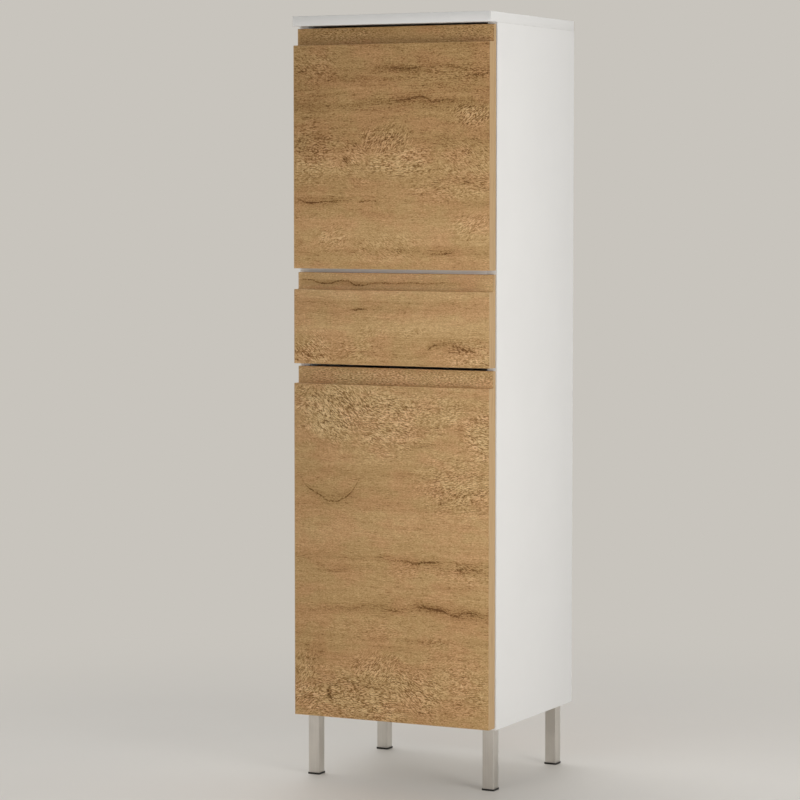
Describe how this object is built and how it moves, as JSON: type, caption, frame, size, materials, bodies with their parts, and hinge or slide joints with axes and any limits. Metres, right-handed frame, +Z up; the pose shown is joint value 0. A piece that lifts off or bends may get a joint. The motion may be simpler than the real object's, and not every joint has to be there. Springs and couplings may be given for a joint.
{
  "type": "tall bathroom cabinet",
  "caption": "Tall narrow bathroom cabinet on square metal legs: white carcass, oak-look doors above and below a drawer, finger grips cut along the top of each front.",
  "frame": {"origin": "centre of the bounding box's underside, on the floor between the feet", "axes": "+Z up, the fronts face -Y, +X to the right as seen from the front"},
  "size_m": [0.35, 0.332, 1.235],
  "materials": {
    "white_board": "satin white melamine on chipboard",
    "drawer_board": "satin white melamine on chipboard",
    "thin_board": "white lacquered thin fibreboard",
    "oak_front": "rustic oak decor with a grain in relief",
    "leg_steel": "satin nickel on square tube",
    "foot_plastic": "matte black",
    "nylon": "natural nylon",
    "bumper": "soft clear dome",
    "hinge_nickel": "nickel plated pressing",
    "zinc_steel": "zinc plated",
    "runner_enamel": "white enamelled sheet steel",
    "beech": "bare beech"
  },
  "bodies": {
    "carcass": {"top_panel": "white_board", "bottom_panel": "white_board", "left_side_panel": "white_board", "right_side_panel": "white_board", "fixed_shelf": "white_board", "back_panel": "thin_board", "upper_shelf": "white_board", "lower_shelf": "white_board", "shelf_pins": "nylon", "panel_dowels": "beech", "cam_locks": "zinc_steel", "cam_bolts": "zinc_steel", "leg_front_left": "leg_steel", "leg_front_right": "leg_steel", "leg_back_left": "leg_steel", "leg_back_right": "leg_steel", "leg_screws": "zinc_steel", "foot_front_left": "foot_plastic", "foot_front_right": "foot_plastic", "foot_back_left": "foot_plastic", "foot_back_right": "foot_plastic", "hinge_plates": "hinge_nickel", "hinge_plate_screws": "zinc_steel", "hinge_arms": "hinge_nickel", "hinge_arm_pins": "hinge_nickel", "hinge_arm_screws": "zinc_steel", "cabinet_runner_left": "runner_enamel", "cabinet_runner_right": "runner_enamel", "cabinet_runner_screws": "zinc_steel", "front_roller_axles": "zinc_steel", "wall_brackets": "zinc_steel", "wall_bracket_screws": "zinc_steel"},
    "upper_links": {"upper_hinge_links": "hinge_nickel"},
    "lower_links": {"lower_hinge_links": "hinge_nickel"},
    "upper_door": {"upper_door": "oak_front", "upper_hinge_cups": "hinge_nickel", "upper_cup_pins": "hinge_nickel", "upper_cup_screws": "zinc_steel", "upper_door_bumpers": "bumper"},
    "lower_door": {"lower_door": "oak_front", "lower_hinge_cups": "hinge_nickel", "lower_cup_pins": "hinge_nickel", "lower_cup_screws": "zinc_steel", "lower_door_bumpers": "bumper"},
    "drawer": {"drawer_front": "oak_front", "drawer_left_side": "drawer_board", "drawer_right_side": "drawer_board", "drawer_back": "drawer_board", "drawer_bottom": "thin_board", "drawer_runner_left": "runner_enamel", "drawer_runner_right": "runner_enamel", "drawer_runner_screws": "zinc_steel", "drawer_cam_locks": "zinc_steel", "drawer_cam_bolts": "zinc_steel", "drawer_dowels": "beech", "drawer_bumpers": "bumper", "rear_roller_axles": "zinc_steel"},
    "front_rollers": {"front_rollers": "nylon"},
    "rear_rollers": {"rear_rollers": "nylon"}
  },
  "joints": [
    {"name": "upper_hinge_link", "type": "hinge", "parent": "carcass", "child": "upper_links", "pos_m": [-0.151, -0.145, 1.023], "axis": [0, 0, 1], "range_deg": [0, 72]},
    {"name": "upper_door_hinge", "type": "hinge", "parent": "upper_links", "child": "upper_door", "pos_m": [-0.1645, -0.146, 1.023], "axis": [0, 0, -1], "range_deg": [0, 168]},
    {"name": "lower_hinge_link", "type": "hinge", "parent": "carcass", "child": "lower_links", "pos_m": [-0.151, -0.145, 0.38775], "axis": [0, 0, 1], "range_deg": [0, 72]},
    {"name": "lower_door_hinge", "type": "hinge", "parent": "lower_links", "child": "lower_door", "pos_m": [-0.1645, -0.146, 0.38775], "axis": [0, 0, -1], "range_deg": [0, 168]},
    {"name": "drawer_slide", "type": "slide", "parent": "carcass", "child": "drawer", "axis": [0, -1, 0], "range_m": [0, 0.195]},
    {"name": "front_roller_spin", "type": "hinge", "parent": "carcass", "child": "front_rollers", "pos_m": [0, -0.129, 0.7099], "axis": [1, 0, 0], "range_deg": [0, 1725]},
    {"name": "rear_roller_spin", "type": "hinge", "parent": "drawer", "child": "rear_rollers", "pos_m": [0, 0.1, 0.707], "axis": [1, 0, 0], "range_deg": [0, 1725]}
  ],
  "couplings": [
    {"joint": "upper_hinge_link", "follows": "upper_door_hinge", "ratio": 0.42857},
    {"joint": "lower_hinge_link", "follows": "lower_door_hinge", "ratio": 0.42857},
    {"joint": "front_roller_spin", "follows": "drawer_slide", "rad_per_m": 153.85},
    {"joint": "rear_roller_spin", "follows": "drawer_slide", "rad_per_m": 153.85}
  ]
}
